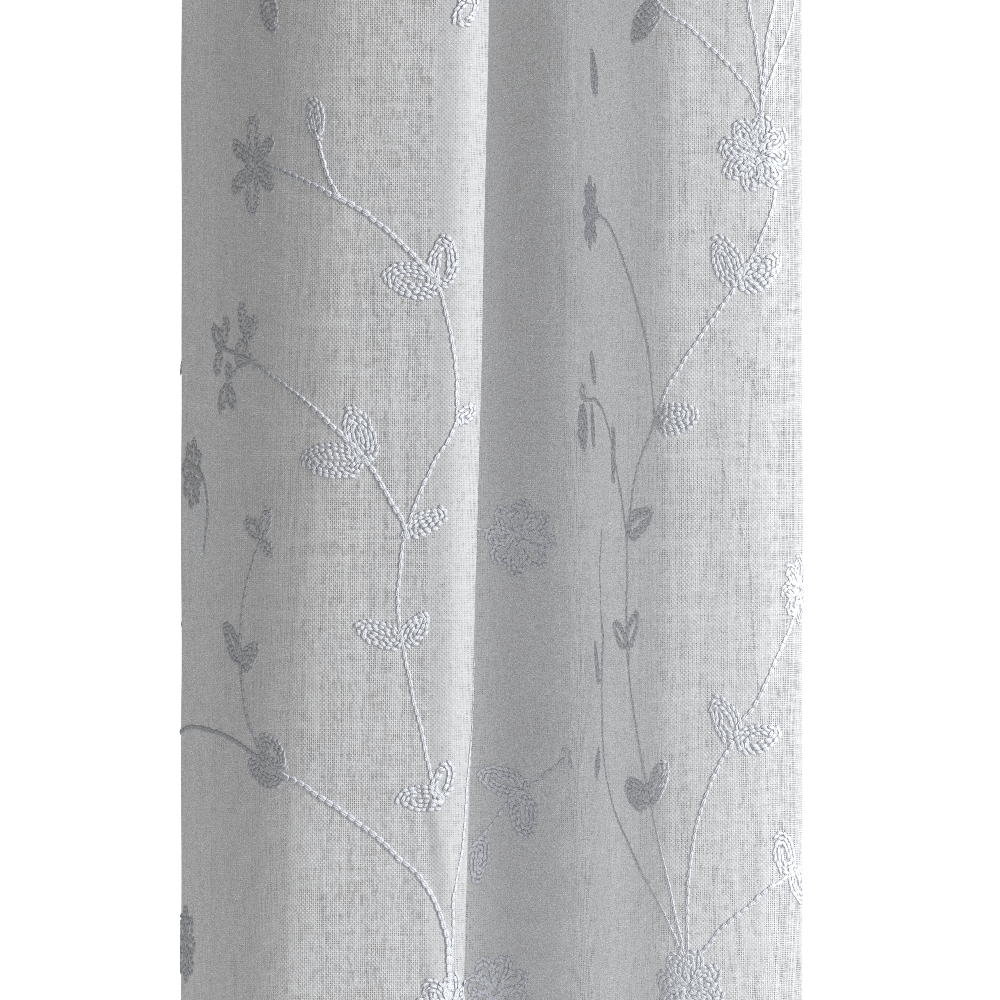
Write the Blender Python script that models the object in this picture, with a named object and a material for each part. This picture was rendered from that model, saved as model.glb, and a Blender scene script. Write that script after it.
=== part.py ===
"""Sheer voile curtain: one cut length of cloth hanging in two deep round folds with a set-back
valley between them. Metres, +Z up, the front of the curtain faces -Y. The origin is the middle of
the top edge, from which the cloth hangs."""

import bpy
import numpy as np

# Driving dimensions
drop = 0.400  # height of the hanging length, edge to edge
cut_width = 0.600  # width of the cloth laid flat, side hem to side hem
cloth_thickness = 0.0010  # single cloth, with the loft of its slub yarn and its embroidery
hem_thickness = 0.0018  # the turned edge, two layers pressed together
hem_depth = 0.012  # width of the turned edge on all four sides
front_to_middle = 0.049  # the foremost fold stands this far in front of the top edge's middle

hem_step = 0.0004  # height over which the cloth thickens into the hem
row_count = 13  # rows of points between the top hem and the bottom hem
points_per_span = 3  # steps from one row of the fold table to the next
depth_tolerance = 1e-8  # how closely the depth of the folds is fitted to the cut width

# The course of the cloth seen from above, from the hidden left hem round to the hidden right hem.
# Across (+X to the viewer's right) and back (away from the viewer, from the foremost fold) are in
# millimetres, each at the top edge, at half height and at the bottom edge.
# place, across top, across half, across bottom, back top, back half, back bottom
fold_table = [
    ("left hem, behind the left column", -20.0, -17.0, -21.0, 95.0, 93.5, 92.0),
    ("back of the left column", -36.0, -34.0, -37.0, 98.5, 96.5, 97.5),
    ("back of the left column, soft rib", -54.0, -53.0, -55.0, 92.5, 93.5, 94.5),
    ("back of the left column, outer end", -76.0, -76.5, -77.0, 96.0, 95.0, 94.0),
    ("left turn, going round", -90.0, -90.5, -91.0, 90.0, 89.0, 88.0),
    ("left turn, outermost", -96.4, -96.6, -96.6, 76.5, 76.0, 75.0),
    ("left flank, almost edge-on", -93.4, -93.0, -93.8, 65.5, 64.0, 61.0),
    ("left flank, far", -85.8, -85.4, -88.2, 47.0, 44.5, 42.5),
    ("left flank, middle", -71.4, -73.0, -80.6, 25.8, 24.8, 24.0),
    ("left flank, near", -55.0, -60.0, -71.5, 10.6, 11.4, 10.8),
    ("soft crease beside the left face", -47.0, -52.5, -64.0, 6.4, 6.6, 5.6),
    ("left face, outer third", -38.0, -41.5, -48.0, 3.8, 3.2, 2.0),
    ("left face, middle", -26.5, -28.5, -33.0, 1.4, 1.0, 0.2),
    ("left face, foremost", -15.0, -17.5, -22.5, 0.3, 0.2, 0.3),
    ("left column, rounding off", -6.0, -9.5, -15.0, 1.8, 1.9, 1.7),
    ("left column, silhouette", -0.4, -4.3, -10.7, 8.0, 7.6, 6.6),
    ("pleat, turned in behind the face", -4.6, -8.0, -13.6, 10.2, 9.9, 9.4),
    ("pleat, lying behind the face", -11.5, -13.6, -17.0, 7.2, 7.3, 7.7),
    ("pleat, inner turn", -16.6, -17.6, -20.6, 9.4, 9.6, 10.2),
    ("pleat, leaving for the valley", -14.4, -16.2, -19.4, 17.6, 17.8, 19.0),
    ("way back to the valley", -12.4, -14.4, -18.2, 40.0, 40.5, 42.0),
    ("valley, coming round", -7.0, -8.6, -11.4, 63.0, 64.0, 66.0),
    ("valley, left part", 3.0, 2.6, 1.4, 72.4, 73.8, 76.0),
    ("valley, middle", 13.5, 13.6, 14.0, 75.4, 77.0, 78.6),
    ("valley, right part", 21.2, 23.0, 25.6, 74.8, 76.2, 77.2),
    ("right flank, turning forward", 25.0, 28.6, 32.6, 68.6, 69.8, 70.6),
    ("right flank, far", 29.6, 32.4, 34.4, 51.0, 52.0, 53.4),
    ("right flank, middle", 37.6, 38.6, 39.2, 29.6, 30.4, 31.4),
    ("right flank, near", 45.6, 46.0, 45.4, 15.6, 16.0, 16.8),
    ("soft crease beside the right face", 53.0, 53.2, 52.4, 8.8, 8.8, 9.2),
    ("right face, outer third", 64.0, 63.6, 62.4, 4.8, 4.6, 4.4),
    ("right face, middle", 75.5, 75.4, 74.2, 2.2, 1.8, 1.6),
    ("right face, foremost", 85.0, 85.6, 85.0, 2.2, 2.0, 2.2),
    ("right column, silhouette", 92.8, 93.3, 93.2, 12.2, 11.6, 11.6),
    ("right return, behind the face", 90.0, 89.8, 89.2, 27.0, 26.4, 27.6),
    ("right return, going in", 82.0, 81.0, 80.6, 47.0, 46.4, 48.2),
    ("right return, far", 69.0, 67.6, 67.4, 69.0, 69.6, 71.6),
    ("back of the right column", 51.5, 51.0, 51.0, 86.0, 87.0, 88.4),
    ("back, soft rib", 34.0, 33.4, 33.0, 91.6, 93.2, 92.4),
    ("back of the valley", 16.5, 17.0, 16.0, 96.6, 96.4, 96.6),
    ("right hem, behind the valley", -3.0, -1.0, -4.0, 94.6, 96.0, 95.0),
]


def through_three(top, half, bottom, down):
    """The value at a share of the drop, on the parabola through its three given values."""
    bow = 2.0 * (top + bottom) - 4.0 * half
    return top + (bottom - top - bow) * down + bow * down * down


def course_points(down):
    """The fold table's points at this share of the drop, in metres from the foremost fold."""
    points = [
        (through_three(x0, x1, x2, down), through_three(y0, y1, y2, down))
        for _, x0, x1, x2, y0, y1, y2 in fold_table
    ]
    return np.array(points) / 1000.0


def smooth_course(points):
    """A centripetal spline through the points, with points_per_span steps between two of them."""
    first = 2.0 * points[0] - points[1]
    last = 2.0 * points[-1] - points[-2]
    ends = np.vstack([first, points, last])
    knots = np.concatenate([[0.0], np.cumsum(np.sqrt(np.linalg.norm(np.diff(ends, axis=0), axis=1)))])
    course = []
    for i in range(1, len(ends) - 2):
        a, b, c, d = ends[i - 1 : i + 3]
        ta, tb, tc, td = knots[i - 1 : i + 3]
        for step in range(points_per_span):
            t = tb + (tc - tb) * step / points_per_span
            ab = a + (b - a) * (t - ta) / (tb - ta)
            bc = b + (c - b) * (t - tb) / (tc - tb)
            cd = c + (d - c) * (t - tc) / (td - tc)
            left = ab + (bc - ab) * (t - ta) / (tc - ta)
            right = bc + (cd - bc) * (t - tb) / (td - tb)
            course.append(left + (right - left) * (t - tb) / (tc - tb))
    course.append(points[-1])
    return np.array(course)


def length_of(course):
    return np.linalg.norm(np.diff(course, axis=0), axis=1).sum()


def course_of_cut_width(down):
    """The course at this share of the drop, its folds made a little deeper or shallower until the
    cloth along it measures the cut width, as woven cloth neither stretches nor shrinks."""
    points = course_points(down)
    shallow, deep = 0.5, 1.5
    while deep - shallow > depth_tolerance:
        depth = 0.5 * (shallow + deep)
        course = smooth_course(points * (1.0, depth))
        if length_of(course) < cut_width:
            shallow = depth
        else:
            deep = depth
    return course


def thickness_at(along, down):
    """Thick within the turned edge on any side, thin elsewhere; along and down are in metres."""
    to_edge = np.minimum(np.minimum(along, cut_width - along), min(down, drop - down))
    return np.where(to_edge < hem_depth - 0.5 * hem_step, hem_thickness, cloth_thickness)


def heights_down():
    """Distances below the top edge of the rows of points, with a row on each side of each hem."""
    between = np.linspace(hem_depth, drop - hem_depth, row_count)
    return [0.0, hem_depth - hem_step, *between, drop - hem_depth + hem_step, drop]


def cloth_mesh(name):
    """The cloth as one closed sheet: its front and its back follow the same course, half the
    thickness to either side, and four narrow edges close it."""
    rows = heights_down()
    fronts, backs = [], []
    for down in rows:
        course = course_of_cut_width(down / drop)
        steps = np.linalg.norm(np.diff(course, axis=0), axis=1)
        along = np.concatenate([[0.0], np.cumsum(steps)])
        way = np.gradient(course, along, axis=0)
        way /= np.linalg.norm(way, axis=1)[:, None]
        out = np.stack([way[:, 1], -way[:, 0]], axis=1)
        half = 0.5 * thickness_at(along, down)[:, None]
        for side, store in ((1.0, fronts), (-1.0, backs)):
            flat = course + side * half * out
            store.append([(x, y - front_to_middle, -down) for x, y in flat])
    across = len(fronts[0])
    count = across * len(rows)
    vertices = [point for row in fronts + backs for point in row]
    faces = []
    for r in range(len(rows) - 1):
        for c in range(across - 1):
            corner = r * across + c
            quad = (corner, corner + across, corner + across + 1, corner + 1)
            faces.append(quad)
            faces.append(tuple(count + i for i in reversed(quad)))
        for c, turned in ((0, True), (across - 1, False)):
            upper, lower = r * across + c, (r + 1) * across + c
            edge = (upper, lower, count + lower, count + upper)
            faces.append(edge[::-1] if turned else edge)
    for c in range(across - 1):
        top = (c, c + 1, count + c + 1, count + c)
        low = tuple((len(rows) - 1) * across + i for i in top)
        faces.append(top)
        faces.append(low[::-1])
    mesh = bpy.data.meshes.new(name)
    mesh.from_pydata(vertices, [], faces)
    mesh.update()
    mesh.shade_smooth()
    mesh.set_sharp_from_angle(angle=np.radians(50.0))
    return mesh


def voile_material():
    """White voile with a soft grey cast, matt."""
    white_grey = (0.74, 0.75, 0.77, 1.0)
    material = bpy.data.materials.new("white voile")
    material.use_nodes = True
    shader = material.node_tree.nodes["Principled BSDF"]
    shader.inputs["Base Color"].default_value = white_grey
    shader.inputs["Roughness"].default_value = 0.8
    shader.inputs["Metallic"].default_value = 0.0
    material.diffuse_color = white_grey
    return material


def main():
    for thing in list(bpy.data.objects):
        bpy.data.objects.remove(thing, do_unlink=True)
    cloth = bpy.data.objects.new("voile_cloth", cloth_mesh("voile_cloth"))
    cloth.data.materials.append(voile_material())
    bpy.context.scene.collection.objects.link(cloth)


main()
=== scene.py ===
import math
import bpy
import numpy as np
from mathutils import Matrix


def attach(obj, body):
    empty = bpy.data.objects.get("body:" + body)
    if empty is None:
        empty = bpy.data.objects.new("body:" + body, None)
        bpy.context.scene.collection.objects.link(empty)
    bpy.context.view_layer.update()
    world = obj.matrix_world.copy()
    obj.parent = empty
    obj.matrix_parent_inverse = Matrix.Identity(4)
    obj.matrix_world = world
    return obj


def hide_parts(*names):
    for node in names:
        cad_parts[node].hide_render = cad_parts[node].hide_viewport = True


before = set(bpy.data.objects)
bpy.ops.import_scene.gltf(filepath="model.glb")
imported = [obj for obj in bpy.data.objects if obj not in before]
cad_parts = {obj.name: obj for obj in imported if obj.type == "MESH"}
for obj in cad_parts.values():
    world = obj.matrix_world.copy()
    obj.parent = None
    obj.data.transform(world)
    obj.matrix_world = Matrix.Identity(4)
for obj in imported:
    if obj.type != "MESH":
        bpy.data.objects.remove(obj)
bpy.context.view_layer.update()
print("frame loaded")

# The cloth's course seen from above, from the hidden left hem round to the hidden right hem, in mm.
# place, across top, across half, across bottom, back top, back half, back bottom
foldTable = [
    ("left hem, behind the left column", -20.0, -17.0, -21.0, 95.0, 93.5, 92.0),
    ("back of the left column", -36.0, -34.0, -37.0, 98.5, 96.5, 97.5),
    ("back of the left column, soft rib", -54.0, -53.0, -55.0, 92.5, 93.5, 94.5),
    ("back of the left column, outer end", -76.0, -76.5, -77.0, 96.0, 95.0, 94.0),
    ("left turn, going round", -90.0, -90.5, -91.0, 90.0, 89.0, 88.0),
    ("left turn, outermost", -96.4, -96.6, -96.6, 76.5, 76.0, 75.0),
    ("left flank, almost edge-on", -93.4, -93.0, -93.8, 65.5, 64.0, 61.0),
    ("left flank, far", -85.8, -85.4, -88.2, 47.0, 44.5, 42.5),
    ("left flank, middle", -71.4, -73.0, -80.6, 25.8, 24.8, 24.0),
    ("left flank, near", -55.0, -60.0, -71.5, 10.6, 11.4, 10.8),
    ("soft crease beside the left face", -47.0, -52.5, -64.0, 6.4, 6.6, 5.6),
    ("left face, outer third", -38.0, -41.5, -48.0, 3.8, 3.2, 2.0),
    ("left face, middle", -26.5, -28.5, -33.0, 1.4, 1.0, 0.2),
    ("left face, foremost", -15.0, -17.5, -22.5, 0.3, 0.2, 0.3),
    ("left column, rounding off", -6.0, -9.5, -15.0, 1.8, 1.9, 1.7),
    ("left column, silhouette", -0.4, -4.3, -10.7, 8.0, 7.6, 6.6),
    ("pleat, turned in behind the face", -4.6, -8.0, -13.6, 10.2, 9.9, 9.4),
    ("pleat, lying behind the face", -11.5, -13.6, -17.0, 7.2, 7.3, 7.7),
    ("pleat, inner turn", -16.6, -17.6, -20.6, 9.4, 9.6, 10.2),
    ("pleat, leaving for the valley", -14.4, -16.2, -19.4, 17.6, 17.8, 19.0),
    ("way back to the valley", -12.4, -14.4, -18.2, 40.0, 40.5, 42.0),
    ("valley, coming round", -7.0, -8.6, -11.4, 63.0, 64.0, 66.0),
    ("valley, left part", 3.0, 2.6, 1.4, 72.4, 73.8, 76.0),
    ("valley, middle", 13.5, 13.6, 14.0, 75.4, 77.0, 78.6),
    ("valley, right part", 21.2, 23.0, 25.6, 74.8, 76.2, 77.2),
    ("right flank, turning forward", 25.0, 28.6, 32.6, 68.6, 69.8, 70.6),
    ("right flank, far", 29.6, 32.4, 34.4, 51.0, 52.0, 53.4),
    ("right flank, middle", 37.6, 38.6, 39.2, 29.6, 30.4, 31.4),
    ("right flank, near", 45.6, 46.0, 45.4, 15.6, 16.0, 16.8),
    ("soft crease beside the right face", 53.0, 53.2, 52.4, 8.8, 8.8, 9.2),
    ("right face, outer third", 64.0, 63.6, 62.4, 4.8, 4.6, 4.4),
    ("right face, middle", 75.5, 75.4, 74.2, 2.2, 1.8, 1.6),
    ("right face, foremost", 85.0, 85.6, 85.0, 2.2, 2.0, 2.2),
    ("right column, silhouette", 92.8, 93.3, 93.2, 12.2, 11.6, 11.6),
    ("right return, behind the face", 90.0, 89.8, 89.2, 27.0, 26.4, 27.6),
    ("right return, going in", 82.0, 81.0, 80.6, 47.0, 46.4, 48.2),
    ("right return, far", 69.0, 67.6, 67.4, 69.0, 69.6, 71.6),
    ("back of the right column", 51.5, 51.0, 51.0, 86.0, 87.0, 88.4),
    ("back, soft rib", 34.0, 33.4, 33.0, 91.6, 93.2, 92.4),
    ("back of the valley", 16.5, 17.0, 16.0, 96.6, 96.4, 96.6),
    ("right hem, behind the valley", -3.0, -1.0, -4.0, 94.6, 96.0, 95.0),
]
placeNames = [row[0] for row in foldTable]

cloth = {
    "drop": 0.400,  # top edge to bottom edge
    "cutWidth": 0.600,  # side hem to side hem, laid flat
    "frontToMiddle": 0.049,  # the foremost fold, in front of the origin
    "hemDepth": 0.012,
    "hemGap": 0.0005,  # from the cloth to its turned edge behind it
    "hemSteps": 5,
    "hemBend": 0.0008,  # on this length it turns over
    "hemCrowding": 1.6,  # how much its rows crowd at the turn
    "seamInset": 0.0105,  # from the cloth's edge to the seam
    "creaseFade": 0.016,  # on this length a crease runs out
    "slowWave": 0.00018,  # height of the gentle unevenness
    "quickWave": 0.00010,
    "stepsPerSpan": 11,
    "rowCount": 165,
    "lookupStep": 0.0005,
}


def throughThree(top, half, bottom, down):  # a parabola through the three given values
    bow = 2 * (top + bottom) - 4 * half
    return top + (bottom - top - bow) * down + bow * down * down


def coursePoints(down):
    return np.array([
        (throughThree(x0, x1, x2, down), throughThree(y0, y1, y2, down))
        for _, x0, x1, x2, y0, y1, y2 in foldTable
    ]) / 1000


def smoothCourse(points, steps):  # a centripetal spline through the points
    ends = np.vstack([2 * points[0] - points[1], points, 2 * points[-1] - points[-2]])
    gaps = np.sqrt(np.linalg.norm(np.diff(ends, axis=0), axis=1))
    knots = np.concatenate([[0], np.cumsum(gaps)])
    a, b, c, d = (ends[i : len(ends) - 3 + i, None] for i in range(4))
    ta, tb, tc, td = (knots[i : len(knots) - 3 + i, None, None] for i in range(4))
    t = tb + (tc - tb) * (np.arange(steps) / steps)[None, :, None]
    ab = a + (b - a) * (t - ta) / (tb - ta)
    bc = b + (c - b) * (t - tb) / (tc - tb)
    cd = c + (d - c) * (t - tc) / (td - tc)
    left = ab + (bc - ab) * (t - ta) / (tc - ta)
    right = bc + (cd - bc) * (t - tb) / (td - tb)
    course = left + (right - left) * (t - tb) / (tc - tb)
    return np.vstack([course.reshape(-1, points.shape[1]), points[-1:]])


def alongOf(course):
    return np.concatenate([[0], np.cumsum(np.linalg.norm(np.diff(course, axis=0), axis=1))])


def courseOfCutWidth(down):  # woven cloth neither stretches nor shrinks, so the depth gives way
    points = coursePoints(down)
    shallow, deep = 0.8, 1.2
    for _ in range(24):
        depth = (shallow + deep) / 2
        course = smoothCourse(points * (1, depth), cloth["stepsPerSpan"])
        if alongOf(course)[-1] < cloth["cutWidth"]:
            shallow = depth
        else:
            deep = depth
    return course


rowDowns = np.linspace(0, cloth["drop"], cloth["rowCount"])
courses = [courseOfCutWidth(down / cloth["drop"]) for down in rowDowns]
courseAlongs = [alongOf(course) * cloth["cutWidth"] / alongOf(course)[-1] for course in courses]
lookupAlongs = np.arange(0, cloth["cutWidth"] + 1e-9, cloth["lookupStep"])
lookup = np.stack([
    np.stack([
        np.interp(lookupAlongs, along, course[:, 0]),
        np.interp(lookupAlongs, along, course[:, 1]) - cloth["frontToMiddle"],
        np.full(len(lookupAlongs), -down),
    ], axis=1)
    for course, along, down in zip(courses, courseAlongs, rowDowns)
])
print("course of the cloth fitted to its cut width")


def bilinear(grid, along, down):
    i = np.clip(np.asarray(along) / cloth["lookupStep"], 0, grid.shape[1] - 1.001)
    j = np.clip(np.asarray(down) / (rowDowns[1] - rowDowns[0]), 0, grid.shape[0] - 1.001)
    i0, j0 = i.astype(int), j.astype(int)
    fi, fj = (i - i0)[..., None], (j - j0)[..., None]
    upper = grid[j0, i0] * (1 - fi) + grid[j0, i0 + 1] * fi
    lower = grid[j0 + 1, i0] * (1 - fi) + grid[j0 + 1, i0 + 1] * fi
    return upper * (1 - fj) + lower * fj


def outwardOf(grid):  # the right side of the cloth, which faces the viewer at the front
    across = np.gradient(grid, axis=1)
    down = np.gradient(grid, axis=0)
    out = np.cross(down, across)
    return out / np.linalg.norm(out, axis=2, keepdims=True)


def alongAt(place, down):  # how far along the cloth a row of the fold table lies
    column = placeNames.index(place) * cloth["stepsPerSpan"]
    return np.interp(down, rowDowns, [along[min(column, len(along) - 1)] for along in courseAlongs])


# The camera stands square to the curtain, far off, as for a long lens.
view = {
    "pixels": 1000,
    "millimetresAPixel": 0.3,  # at the foremost fold
    "distance": 2.2,  # to the foremost fold
    "acrossAtMiddle": 0.00225,
    "downAtMiddle": 0.2,
    "sensor": 36,
    "samples": 400,  # places tried on a stretch to find the one under a pixel
    "rounds": 4,  # of closing in on it
}
view["width"] = view["pixels"] * view["millimetresAPixel"] / 1000
view["lens"] = view["sensor"] * view["distance"] / view["width"]


def makeCamera():
    camera = bpy.data.objects.new("camera", bpy.data.cameras.new("camera"))
    camera.data.sensor_width = view["sensor"]
    camera.data.lens = view["lens"]
    camera.data.clip_start = 0.1
    camera.data.clip_end = 30
    camera.location = (
        view["acrossAtMiddle"],
        -cloth["frontToMiddle"] - view["distance"],
        -view["downAtMiddle"],
    )
    camera.rotation_euler = (math.pi / 2, 0, 0)
    bpy.context.scene.collection.objects.link(camera)
    bpy.context.scene.camera = camera


makeCamera()


# Stretches of the cloth that the viewer sees, each between two rows of the fold table.
stretches = {
    "left": ("left turn, outermost", "left column, silhouette"),
    "pleat": ("pleat, turned in behind the face", "pleat, inner turn"),
    "valley": ("valley, coming round", "valley, right part"),
    "right": ("right flank, turning forward", "right column, silhouette"),
    "backLeft": ("back of the left column, soft rib", "left turn, outermost"),
    "backRight": ("right return, far", "back of the valley"),
}


# Where the view's pixel x, y falls on a stretch, as (along, down) on the flat cloth. On "flat" the
# two numbers are millimetres along and down the cloth already.
def onCloth(stretch, x, y):
    if stretch == "flat":
        return x / 1000, y / 1000
    begin, end = stretches[stretch]
    middle, pixelsAMetre = view["pixels"] / 2, view["pixels"] / view["width"]
    depth = view["distance"]
    for _ in range(view["rounds"]):
        down = view["downAtMiddle"] + (y - middle) / pixelsAMetre * depth / view["distance"]
        down = min(max(down, 0), cloth["drop"])
        along = np.linspace(alongAt(begin, down), alongAt(end, down), view["samples"])
        points = bilinear(lookup, along, np.full(view["samples"], down))
        depths = points[:, 1] + cloth["frontToMiddle"] + view["distance"]
        aside = points[:, 0] - view["acrossAtMiddle"]
        seen = middle + aside / depths * view["distance"] * pixelsAMetre
        order = np.argsort(seen)
        found = np.interp(x, seen[order], along[order])
        depth = np.interp(found, along, depths)
    return found, down


# Soft creases and ridges, each a straight line between two points of the view on one stretch.
# stretch, from x, from y, to x, to y, half width in mm, height in mm (a trough is negative)
creaseTable = [
    ("left", 470, -160, 440, 1160, 5.0, 0.8),
    ("left", 452, 60, 446, 420, 3.0, 0.25),
    ("left", 436, 820, 456, 905, 2.2, 0.45),
    ("left", 428, 845, 447, 985, 1.6, -0.30),
    ("left", 420, 880, 436, 1040, 1.8, 0.35),
    ("left", 236, 520, 214, 1000, 4.5, -0.5),
    ("left", 262, -60, 256, 380, 5.0, -0.4),
    ("left", 340, -120, 330, 520, 6.0, 0.25),
    ("left", 300, 560, 276, 1100, 6.0, 0.3),
    ("left", 372, 430, 352, 1130, 6.0, -0.25),
    ("valley", 530, -120, 524, 620, 6.0, 0.5),
    ("valley", 550, 300, 560, 1130, 6.0, -0.5),
    ("right", 604, 540, 603, 1100, 1.6, 0.5),
    ("right", 640, -100, 648, 500, 3.0, -0.35),
    ("right", 667, 120, 664, 900, 3.2, 0.3),
    ("right", 706, -100, 712, 560, 6.0, -0.2),
    ("right", 742, 250, 736, 1120, 5.0, 0.25),
    ("right", 782, -120, 784, 1120, 2.6, -0.3),
]


def creaseHeight(along, down):
    height = np.zeros(np.broadcast(along, down).shape)
    for (ax, ay, bx, by), halfWidth, rise in creases:
        wayX, wayY = bx - ax, by - ay
        length = math.hypot(wayX, wayY)
        share = ((along - ax) * wayX + (down - ay) * wayY) / length**2
        aside = ((along - ax) * wayY - (down - ay) * wayX) / length
        past = np.maximum(np.maximum(-share, share - 1), 0) * length
        height += rise * np.exp(-((aside / halfWidth) ** 2) - (past / cloth["creaseFade"]) ** 2)
    # the gentle unevenness of cloth that has hung for a while, in waves of so many radians a metre
    slow = np.sin(along * 61 + 2.1 * np.sin(down * 17))
    height += cloth["slowWave"] * slow * np.sin(down * 23 + along * 9)
    height += cloth["quickWave"] * np.sin(along * 173 + 3.0 * np.sin(down * 31 + 1.3))
    return height


creases = []
for stretch, ax, ay, bx, by, halfWidth, rise in creaseTable:
    ends = (*onCloth(stretch, ax, ay), *onCloth(stretch, bx, by))
    creases.append((ends, halfWidth / 1000, rise / 1000))
flatAlong, flatDown = np.meshgrid(lookupAlongs, rowDowns)
lookup = lookup + outwardOf(lookup) * creaseHeight(flatAlong, flatDown)[..., None]
outward = outwardOf(lookup)
print("creases laid on the cloth")


def link(piece):
    bpy.context.scene.collection.objects.link(piece)
    return piece


def turnBack(values, whole):  # a value past an edge lies on the turned hem behind the cloth
    values = np.asarray(values)
    past = np.maximum(np.maximum(-values, values - whole), 0)
    inside = np.where(values < 0, -values, np.where(values > whole, 2 * whole - values, values))
    return inside, np.minimum(past / cloth["hemBend"], 1)


voileLook = {
    # painted shade: the yarn colour runs from the light one on a yarn's crest to the dark one at its sides
    # and where it dips under the other set, mixed with each yarn's own lighter or darker tone
    "lightYarn": (0.99, 0.99, 0.995, 1),
    "darkYarnAndShade": (0.44, 0.44, 0.445, 1),
    "warpPitch": 0.00065,
    "weftPitch": 0.00065,
    "warpCover": 0.48,
    "weftCover": 0.46,
    "unevenness": 0.75,
    "letThrough": 0.38,  # share of the light that a yarn passes on rather than sends back
    "roughness": 0.75,
    "sheen": 0.1,
    "relief": 0.00012,
    "reliefStrength": 0.8,
    "sheenRoughness": 0.4,
    "shine": 0.3,
    "wander": 0.22,  # how far a yarn strays to the side, for its pitch
    "yarnShift": 0.16,  # how far a yarn lies from its even place, for its pitch
    "yarnSpread": 0.45,  # how much thicker or thinner one yarn is than the next
    "slubsAMetre": 330.0,
    "slubSize": 1.9,
    "slubApart": 3.71,  # far enough that neighbours share no slub
    "yarnCrispness": 12.0,  # how sharply a yarn ends at its side
    "closerCover": 0.3,  # cover gained where the yarns lie quite close together
    "bandsAMetre": 430.0,  # soft stripes of closer and looser warp
    "bandChangesAMetre": 14.0,
    "bandSize": 0.6,
    # how much darker a yarn is painted where it lies lower: painted shade
    "shadeOfHeight": 0.7,
    "toneOfYarn": 0.35,
    "toneOfWarp": 0.6,  # share that the warp has in the yarns' own tone
    # these three heights set only the painted shade of the crossing yarns; the bumps come from the relief
    # group
    "warpDip": 0.3,  # how much lower the warp is under the weft
    "weftLow": 0.35,  # height of the weft under the warp
    "weftRise": 0.4,  # how much higher it is over the warp
    "warpSeed": 3.0,
    "weftSeed": 47.0,
}

# Where the yarns lie closer together or looser and where their light and shade is softer or
# crisper: stretch, from x and to x at the view's top, from x and to x at its foot, how much closer,
# how much softer, width of the border in mm
closeTable = [
    ("left", 436, 500, 426, 480, 0.8, 0.6, 0.5),
    ("left", 150, 290, 150, 262, 0.45, 0.5, 9.0),
    ("left", 290, 430, 262, 420, 0.2, -0.65, 9.0),
    ("valley", 470, 580, 460, 600, 1.0, 0.85, 12.0),
    ("right", 570, 610, 564, 610, 0.9, 0.7, 4.0),
    ("right", 610, 656, 610, 662, 0.65, 0.4, 5.0),
    ("right", 656, 742, 662, 738, 0.05, -0.4, 6.0),
    ("right", 784, 812, 780, 812, -0.6, 0.6, 3.0),
]


def weaveChanges(along, down):
    closer, softer = np.zeros(along.shape), np.zeros(along.shape)
    for stretch, x0, x1, x2, x3, close, soft, border in closeTable:
        edges = []
        for top, foot in ((x0, x2), (x1, x3)):
            upper, upperDown = onCloth(stretch, top, 0)
            lower, lowerDown = onCloth(stretch, foot, view["pixels"])
            edges.append(upper + (lower - upper) * (down - upperDown) / (lowerDown - upperDown))
        inside = np.minimum(along - edges[0], edges[1] - along) / (border / 1000)
        share = np.clip(inside + 0.5, 0, 1)
        closer += close * share
        softer += soft * share
    return closer, softer


def makeVoile():
    width, drop, steps = cloth["cutWidth"], cloth["drop"], cloth["hemSteps"]
    turned = -cloth["hemDepth"] * (np.arange(steps, 0, -1) / steps) ** cloth["hemCrowding"]
    downs = np.concatenate([turned, rowDowns, (drop - turned)[::-1]])
    rows = []
    for down in downs:
        downIn, _ = turnBack(down, drop)
        shares = [np.interp(downIn, rowDowns, [a[c] for a in courseAlongs]) for c in range(len(courses[0]))]
        rows.append(np.concatenate([turned, shares, (width - turned)[::-1]]))
    alongs = np.array(rows)
    downGrid = np.repeat(downs[:, None], alongs.shape[1], axis=1)
    alongIn, alongLayer = turnBack(alongs, width)
    downIn, downLayer = turnBack(downGrid, drop)
    behind = cloth["hemGap"] * (alongLayer + downLayer)
    points = bilinear(lookup, alongIn, downIn) - bilinear(outward, alongIn, downIn) * behind[..., None]
    wide = alongs.shape[1]
    faces = [
        (r * wide + c, (r + 1) * wide + c, (r + 1) * wide + c + 1, r * wide + c + 1)
        for r in range(len(downs) - 1)
        for c in range(wide - 1)
    ]
    mesh = bpy.data.meshes.new("voile")
    mesh.from_pydata(points.reshape(-1, 3).tolist(), [], faces)
    flatMap = mesh.uv_layers.new(name="flatCloth")
    corner = np.empty(len(mesh.loops), dtype=np.int32)
    mesh.loops.foreach_get("vertex_index", corner)
    across, down = alongs.ravel(), downGrid.ravel()
    wander = voileLook["wander"] * voileLook["warpPitch"]
    slow, quick = 75, 190  # radians a metre along and across the yarn
    flat = np.stack([
        across + wander * np.sin(slow * down + quick * across),
        down + wander * np.sin(slow * across + quick * down),
    ], axis=1)[corner]
    flatMap.data.foreach_set("uv", flat.astype(np.float32).ravel())
    for name, values in zip(("closer", "softer"), weaveChanges(alongIn, downIn)):
        store = mesh.attributes.new(name, "FLOAT", "POINT")
        store.data.foreach_set("value", values.astype(np.float32).ravel())
    mesh.shade_smooth()
    mesh.update()
    return link(bpy.data.objects.new("voile_sheet", mesh))


# Helpers for node trees
def feed(tree, socket, value):  # takes a plain value or another node's output
    if isinstance(value, bpy.types.NodeSocket):
        tree.links.new(value, socket)
    else:
        socket.default_value = value


def addNode(tree, kind, feeds=None, **settings):
    node = tree.nodes.new(kind)
    for name, value in settings.items():
        setattr(node, name, value)
    for name, value in (feeds or {}).items():
        feed(tree, node.inputs[name], value)
    return node


def calc(tree, operation, *values, clamp=False):
    feeds = dict(enumerate(values))
    return addNode(tree, "ShaderNodeMath", feeds, operation=operation, use_clamp=clamp).outputs[0]


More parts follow.
